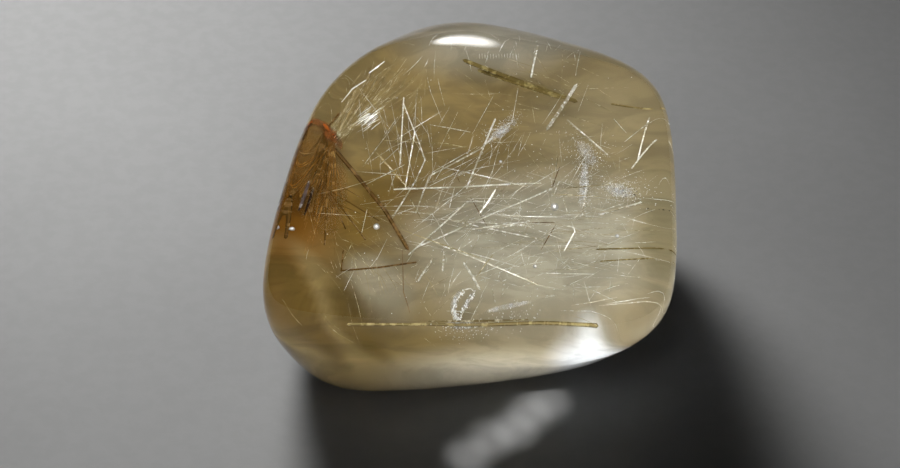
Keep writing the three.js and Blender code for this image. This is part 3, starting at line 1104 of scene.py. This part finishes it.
@dataclass(frozen=True)
class RutileSilk:
    """The needles and fibres too fine to be solids of their own. Sizes are in mm."""

    bright: float = 0.052
    faint: float = 0.024
    tick_radius: float = 0.015
    tick_run: Span = (0.3, 2.7)
    tick_rise: Span = (7.3, 7.6)
    tick_slant: float = 0.02
    tick_lift: float = -0.1
    tick_count: int = 15
    seed: int = 11

    def silver_strands(self) -> tuple[Strand, ...]:
        """Returns the silver needles that the window shows one by one."""
        bright, faint = self.bright, self.faint
        return (
            Strand(((-5.4, 7.2), (-6.3, 6.5))),
            Strand(((-6.5, 6.1), (-7.3, 5.5), (-7.9, 4.7)), 0.3),
            Strand(((-4.4, 4.0), (-6.6, 0.7)), -0.3),
            Strand(((-4.65, 3.8), (-5.5, 2.5)), -0.2),
            Strand(((-6.5, -0.7), (-4.2, 0.6)), 0.8),
            Strand(((-4.6, 1.7), (-5.7, 0.6)), 0.4),
            Strand(((-2.7, 3.3), (-0.2, 2.8)), -0.6),
            Strand(((-2.7, -0.8), (-1.1, 0.1)), 0.6, faint),
            Strand(((-3.0, -1.9), (-2.2, -3.1), (-1.65, -4.5)), 0.5, faint),
            Strand(((1.0, 2.3), (1.1, 1.6), (0.9, 0.6)), 1.3, faint),
            Strand(((0.2, 1.8), (-2.5, 0.1)), 0.9),
            Strand(((2.7, 5.6), (2.3, 3.3)), 0.2, faint),
            Strand(((6.5, 8.1), (6.2, 6.2)), -0.2),
            Strand(((10.7, 3.6), (9.1, 2.1)), 0.3),
            Strand(((1.3, -1.0), (0.8, -1.9), (0.3, -2.6)), 0.9, bright),
            Strand(((5.3, -1.5), (5.6, -2.6)), 0.4),
            Strand(((9.8, -1.6), (7.6, -2.4)), 0.7),
            Strand(((5.1, -0.5), (4.8, -1.3)), 0.3),
            Strand(((1.9, 8.8), (1.5, 7.7)), 0.0),
            Strand(((8.5, 3.6), (9.2, 2.7)), 0.6, faint),
            Strand(((-3.6, -2.2), (-4.9, -2.7)), 0.6, faint),
            Strand(((-5.2, -4.2), (-5.8, -5.5)), 0.4, faint),
            Strand(((-6.4, -2.3), (-6.7, -3.8)), 0.7, faint),
            Strand(((0.9, -2.0), (1.3, -1.1)), 0.2),
            Strand(((-1.2, -0.9), (-1.5, -2.2)), 1.0),
            Strand(((-0.2, -5.1), (2.5, -5.9)), 0.5),
            Strand(((3.9, -6.3), (7.1, -6.4)), -0.4),
            Strand(((3.3, -3.1), (-0.2, -3.6)), 0.6),
            Strand(((1.4, -1.3), (2.7, -2.7), (3.5, -3.4)), 1.1, faint),
            Strand(((5.8, -3.1), (6.1, -4.2)), 0.5),
            Strand(((6.0, -3.7), (5.3, -5.0)), 0.6),
            Strand(((-1.9, -4.1), (-1.4, -4.8)), 0.7),
            Strand(((6.8, -0.4), (6.5, -2.7)), -0.2, bright),
            Strand(((7.0, -1.7), (6.0, -2.9)), -0.1, bright),
            Strand(((-0.6, -7.2), (-1.0, -7.65), (-1.3, -8.1), (-1.2, -8.28), (-0.9, -8.32)), -0.5, bright),
            Strand(((-0.8, -8.3), (-0.4, -7.85), (0.05, -7.35)), -0.5),
            Strand(((-0.6, -7.2), (-0.2, -7.15), (0.05, -7.35)), -0.5, faint),
            Strand(((0.5, -7.6), (-0.2, -8.4)), -0.5, faint),
        )

    def gold_strands(self) -> tuple[Strand, ...]:
        """Returns the golden needles that the window shows one by one."""
        bright, faint = self.bright, self.faint
        return (
            Strand(((-5.9, 1.4), (-4.1, -0.8)), 0.5),
            Strand(((-5.5, 2.2), (-1.7, 2.0), (-0.4, 1.7)), 0.7, faint),
            Strand(((-3.9, -1.5), (-3.2, -2.9)), 0.6),
            Strand(((-7.3, -4.5), (-7.8, -5.6)), 0.2),
            Strand(((-4.4, -3.6), (-2.6, -4.3), (0.3, -5.4)), 0.6),
            Strand(((1.1, -5.2), (0.1, -6.6)), 0.3),
            Strand(((5.3, -0.95), (8.1, -0.7)), 0.4, faint),
            Strand(((4.7, -1.3), (7.6, -1.5)), 0.3, faint),
            Strand(((-2.7, -8.6), (0.2, -8.6), (3.2, -8.65)), 0.4, bright),
        )

    def brown_strands(self) -> tuple[Strand, ...]:
        """Returns the brown hairs that the window shows one by one."""
        faint = self.faint
        return (
            Strand(((-1.3, 0.3), (-0.9, -0.5)), -1.0),
            Strand(((-0.2, -1.5), (0.8, -3.4)), -1.0),
            Strand(((-4.3, -4.9), (-4.2, -7.3), (-3.8, -8.2)), 0.2, faint),
            Strand(((5.2, 0.5), (4.7, -0.9)), -0.8),
            Strand(((4.9, -3.3), (4.0, -4.9)), -1.0),
            Strand(((-8.3, -1.9), (-6.8, -2.6)), 0.4, faint),
            Strand(((-8.0, -0.8), (-6.8, -1.55)), 0.4, faint),
            Strand(((3.2, -3.2), (4.8, -3.15)), 0.3),
        )

    def blade_strands(self) -> tuple[Strand, ...]:
        """Returns the dark metallic blades that lie on the brown spray."""
        return (
            Strand(((-9.75, -0.5), (-10.0, -1.4), (-10.3, -2.4)), 0.3, 0.1),
            Strand(((-9.55, -0.9), (-9.8, -1.8), (-10.05, -2.7)), 0.4, 0.085),
        )

    def ticks(self) -> tuple[Strand, ...]:
        """Returns the row of short, even ticks under the crown."""
        low, high = self.tick_rise
        feet = np.linspace(*self.tick_run, self.tick_count).tolist()
        routes = [((foot, low), (foot - self.tick_slant, high)) for foot in feet]
        return tuple(Strand(route, self.tick_lift, self.tick_radius) for route in routes)

    def build(self, pebble: Pebble) -> None:
        """Makes and dresses the bundles of fine needles, one piece for each finish."""
        rng = np.random.default_rng(self.seed)
        placed = (
            ("silver_needles", self.silver_strands() + self.ticks(), PALE_FINISH, Slot.PALE),
            ("gold_needles", self.gold_strands(), GOLD_FINISH, Slot.PALE),
            ("brown_hairs", self.brown_strands(), BROWN_FINISH, Slot.BROWN),
            ("dark_blades", self.blade_strands(), BLADE_FINISH, Slot.BROWN),
        )
        for name, strands, finish, slot in placed:
            hairs = Hairs.join([strand.hairs() for strand in strands])
            dress(hairs.mesh(name, pebble, rng), finish.material())
        strewn = (
            ("silver_hairs", SILVER_DRIFTS, PALE_FINISH, Slot.PALE),
            ("gold_hairs", GOLD_DRIFTS, GOLD_FINISH, Slot.PALE),
            ("brown_fibres", BROWN_SPRAYS, FIBRE_FINISH, Slot.BROWN),
        )
        for name, drifts, finish, slot in strewn:
            hairs = Hairs.join([drift.hairs(rng) for drift in drifts])
            dress(hairs.mesh(name, pebble, rng), finish.material())


@dataclass(frozen=True)
class GrainVeils:
    """The veils of frost and the dark grains."""

    frost: tuple[Veil, ...] = FROST_VEILS
    dark: tuple[Veil, ...] = DARK_VEILS

    def build(self, pebble: Pebble) -> None:
        """Makes and dresses the grains, one piece for each finish."""
        kinds = (
            ("frost_grains", self.frost, FROST_FINISH, Slot.PALE),
            ("dark_grains", self.dark, SOOT_FINISH, Slot.BROWN),
        )
        for seed, (name, veils, finish, slot) in enumerate(kinds):
            dress(grain_piece(name, veils, pebble, seed), finish.material())


@dataclass(frozen=True)
class Bubble:
    """A pearly lump seen in the window: its spot and lift on the parting plane and its radius, in mm."""

    spot: Spot
    lift: float
    radius: float


@dataclass(frozen=True)
class PearlyBubbles:
    """The few bubbles that shine in the window."""

    splits: int = 3
    dents: int = 4
    dent: float = 0.16
    seed: int = 23
    bubbles: tuple[Bubble, ...] = (
        Bubble((-5.84, -3.43), 0.4, 0.2),
        Bubble((4.82, -2.13), 0.3, 0.25),
        Bubble((3.6, -5.9), 0.0, 0.12),
        Bubble((1.6, 0.8), 0.9, 0.1),
        Bubble((8.5, -4.0), 0.2, 0.12),
        Bubble((-10.6, -3.6), -0.8, 0.12),
    )

    def build(self, pebble: Pebble) -> None:
        """Makes and dresses the bubbles as one piece of dented balls."""
        rng = np.random.default_rng(self.seed)
        ways, faces = ball_ways(self.splits)
        lumps, rims = [], []
        for bubble in self.bubbles:
            pulls = rng.normal(size=(self.dents, 3))
            swell = 1.0 + self.dent * np.sin(ways @ pulls.T).mean(axis=1)
            along, up = bubble.spot
            middle = np.array([along, up - Strand.view_slope * bubble.lift, bubble.lift])
            rims += [[corner + len(ways) * len(lumps) for corner in face] for face in faces]
            lumps.append(middle + ways * (bubble.radius * swell)[:, None])
        corners = pebble.in_part(pebble.by_window(np.concatenate(lumps)))
        dress(new_piece("pearly_bubbles", corners, rims, smooth=True), PEARL_FINISH.material())


OLIVE_NODES = ("long_needle", "roof_blades", "roof_needle", "side_needle_upper", "side_needle_lower")


def dress_solids(frame: dict) -> None:
    """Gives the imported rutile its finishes, by the record's slots, with the olive needles by name."""
    finishes = {Slot.BROWN.value: BROWN_FINISH, Slot.PALE.value: PALE_FINISH}
    for row in frame["record"]["subparts"]:
        finish = OLIVE_FINISH if row["node"] in OLIVE_NODES else finishes.get(row["material_slot"])
        if finish is None:
            continue
        mesh = frame["nodes"][row["node"]].data
        mesh.materials.clear()
        mesh.materials.append(finish.material())
        LOG.info("%s: %s", row["node"], finish.name)


@dataclass(frozen=True)
class Lamp:
    """A lamp's stand about the pebble, in degrees and mm."""

    name: str
    turn: float
    tilt: float
    distance: float

    def stand(self, lamp: bpy.types.Light, target: Vector, aim: Spot) -> bpy.types.Object:
        """Stands a lamp in the scene, where neither the camera nor the quartz's polished skin sees it.

        Args:
            lamp: the light that it gives.
            target: the point that it stands about, in metres.
            aim: the spot that it looks at, in mm beside that point.

        Returns:
            The lamp's object.
        """
        holder = bpy.data.objects.new(self.name, lamp)
        way = Vector(WornFace(self.turn, self.tilt, 1.0).normal)
        holder.location = target + way * self.distance * MM
        back = holder.location - target - Vector((*aim, 0.0)) * MM
        holder.rotation_euler = back.to_track_quat("Z", "Y").to_euler()
        holder.visible_camera = False
        holder.visible_glossy = False
        bpy.context.scene.collection.objects.link(holder)
        return holder


@dataclass(frozen=True)
class GlintLamps(Lamp):
    """Narrow lamps for the light that the quartz gathers in its shadow: cone, watts, size and aims."""

    cone: float = 3.4
    watts: float = 0.11
    size: float = 0.5
    aims: tuple[Spot, ...] = ((6.4, -12.2), (5.4, -13.1), (4.6, -14.3), (3.4, -15.0), (2.1, -16.3))

    def place(self, target: Vector) -> list[bpy.types.Object]:
        """Returns the lamps, one for each aim, standing about the target."""
        lamp = bpy.data.lights.new(self.name, "SPOT")
        lamp.energy = self.watts
        lamp.spot_size = math.radians(self.cone)
        lamp.spot_blend = 1.0
        lamp.shadow_soft_size = self.size * MM
        return [self.stand(lamp, target, aim) for aim in self.aims]


@dataclass(frozen=True)
class Softbox(Lamp):
    """An area lamp: sides in mm, radiance and beam. A mirrored one shows in the quartz's polished skin."""

    sides: Span
    radiance: float
    mirrored: bool = False
    colour: Colour = (1.0, 1.0, 1.0)
    spread: float = 180.0
    aim: Spot = (0.0, 0.0)
    rim: Span = (0.1, 0.5)

    def place(self, target: Vector) -> list[bpy.types.Object]:
        """Returns the lamp alone, standing about the target."""
        width, height = (side * MM for side in self.sides)
        lamp = bpy.data.lights.new(self.name, "AREA")
        lamp.shape = "RECTANGLE"
        lamp.size, lamp.size_y = width, height
        lamp.energy = self.radiance * math.pi * width * height
        lamp.color = self.colour
        lamp.spread = math.radians(self.spread)
        self.soften(lamp)
        holder = self.stand(lamp, target, self.aim)
        holder.visible_glossy = self.mirrored
        return [holder]

    def soften(self, lamp: bpy.types.AreaLight) -> None:
        """Dims a lamp smoothly from its middle to its rim, as a softbox's cloth does."""
        lamp.use_nodes = True
        bench = NodeBench(lamp.node_tree)
        reach = bench.add("ShaderNodeVectorMath", {1: (0.5, 0.5, 0.0)}, operation="DISTANCE")
        bench.link(bench.add("ShaderNodeNewGeometry").outputs["Parametric"], reach.inputs[0])
        glow = bench.span(reach.outputs["Value"], self.rim, (1.0, 0.0))
        bench.link(glow, lamp.node_tree.nodes["Emission"].inputs["Strength"])


COOL: Colour = (0.93, 0.99, 1.1)
SKY: Colour = (0.9, 0.97, 1.15)


@dataclass(frozen=True)
class Studio:
    """A plain pale floor, soft lamps, a grey room and the photograph's camera, in mm and degrees."""

    floor_side: float = 1600.0
    floor_drop: float = 0.05
    camera_tilt: float = 40.0
    camera_distance: float = 133.0
    camera_lens: float = 85.0
    camera_near: float = 5.0
    camera_target: Point = (-1.3, -1.1, 5.7)
    room_light: float = 0.02
    backdrop_light: float = 0.085
    light_bounces: int = 32
    spark_limit: float = 40.0
    floor_lamps: tuple[Lamp, ...] = (
        Softbox("back_softbox", 112, 34, 140, (80, 62), 17.0, spread=76.0, aim=(-28.0, 6.0)),
        Softbox("far_softbox", 112, 34, 900, (510, 398), 17.0),
        GlintLamps("glint_lamp", -75, 50, 60),
    )
    quartz_lamps: tuple[Lamp, ...] = (
        Softbox("crown_softbox", 87, 16, 320, (40, 140), 8.0, mirrored=True),
        Softbox("sky_softbox", 100, 56, 320, (440, 260), 0.7, colour=SKY),
        Softbox("side_sky_softbox", 42, 42, 320, (260, 220), 0.5, colour=SKY),
        Softbox("front_softbox", -98, 28, 300, (320, 260), 13.0, colour=COOL),
        Softbox("side_softbox", -166, 21, 300, (220, 220), 0.7),
        Softbox("roof_softbox", -90, 86, 260, (600, 600), 2.6, colour=COOL),
        Softbox("window_softbox_right", -6, 68, 260, (250, 250), 12.0, colour=COOL),
        Softbox("window_softbox_left", -166, 66, 260, (220, 220), 7.5, colour=COOL),
    )

    def build(self, quartz: bpy.types.Object) -> None:
        """Puts the floor, room, lamps and camera in the scene.

        Args:
            quartz: the clear piece, which has lamps of its own, so that its shadow on the floor stays dark.
        """
        target = Vector(self.camera_target) * MM
        floor = self.lay_floor()
        for lit, lamps in ((floor, self.floor_lamps), (quartz, self.quartz_lamps)):
            group = bpy.data.collections.new(f"lit_{lit.name}")
            group.objects.link(lit)
            for lamp in lamps:
                for holder in lamp.place(target):
                    holder.light_linking.receiver_collection = group
        self.light_room()
        self.place_camera(target)

    def lay_floor(self) -> bpy.types.Object:
        """Returns the floor, just under the pebble's foot."""
        half, level = self.floor_side / 2, -self.floor_drop
        corners = [(-half, -half, level), (half, -half, level), (half, half, level), (-half, half, level)]
        floor = new_piece("floor", np.array(corners) * MM, [[0, 1, 2, 3]])
        floor.data.materials.append(FloorFinish().material())
        return floor

    def light_room(self) -> None:
        """Lights the grey room, a paler backdrop to the camera, and sets how far light is followed."""
        world = bpy.data.worlds.new("room")
        world.use_nodes = True
        bench = NodeBench(world.node_tree)
        seen = bench.add("ShaderNodeLightPath").outputs["Is Camera Ray"]
        glow = bench.span(seen, (0.0, 1.0), (self.room_light, self.backdrop_light))
        background = world.node_tree.nodes["Background"]
        background.inputs["Color"].default_value = (1.0, 1.0, 1.0, 1.0)
        bench.link(glow, background.inputs["Strength"])
        scene = bpy.context.scene
        scene.world = world
        scene.view_settings.view_transform = "Standard"
        for limit in ("max_bounces", "glossy_bounces", "transmission_bounces", "transparent_max_bounces"):
            setattr(scene.cycles, limit, self.light_bounces)
        scene.cycles.sample_clamp_indirect = self.spark_limit

    def place_camera(self, target: Vector) -> None:
        """Puts the camera at the photograph's viewing angle."""
        camera = bpy.data.cameras.new("camera")
        camera.lens = self.camera_lens
        camera.clip_start = self.camera_near * MM
        holder = bpy.data.objects.new("camera", camera)
        way = Vector(WornFace(-90, self.camera_tilt, 1.0).normal)
        holder.location = target + way * self.camera_distance * MM
        holder.rotation_euler = way.to_track_quat("Z", "Y").to_euler()
        bpy.context.scene.collection.objects.link(holder)
        bpy.context.scene.camera = holder


def main() -> None:
    """Builds the pebble, its rutile and the studio, and logs the new pieces' face counts and the solids'
    finishes.
    """
    logging.basicConfig(level=logging.INFO, format="%(name)s: %(message)s")
    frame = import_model()
    pebble = Pebble()
    Studio().build(pebble.build())
    dress_solids(frame)
    RutileSilk().build(pebble)
    GrainVeils().build(pebble)
    HazeFilms().build(pebble)
    HazeCloud().build(pebble)
    PearlyBubbles().build(pebble)


if __name__ == "__main__":
    main()
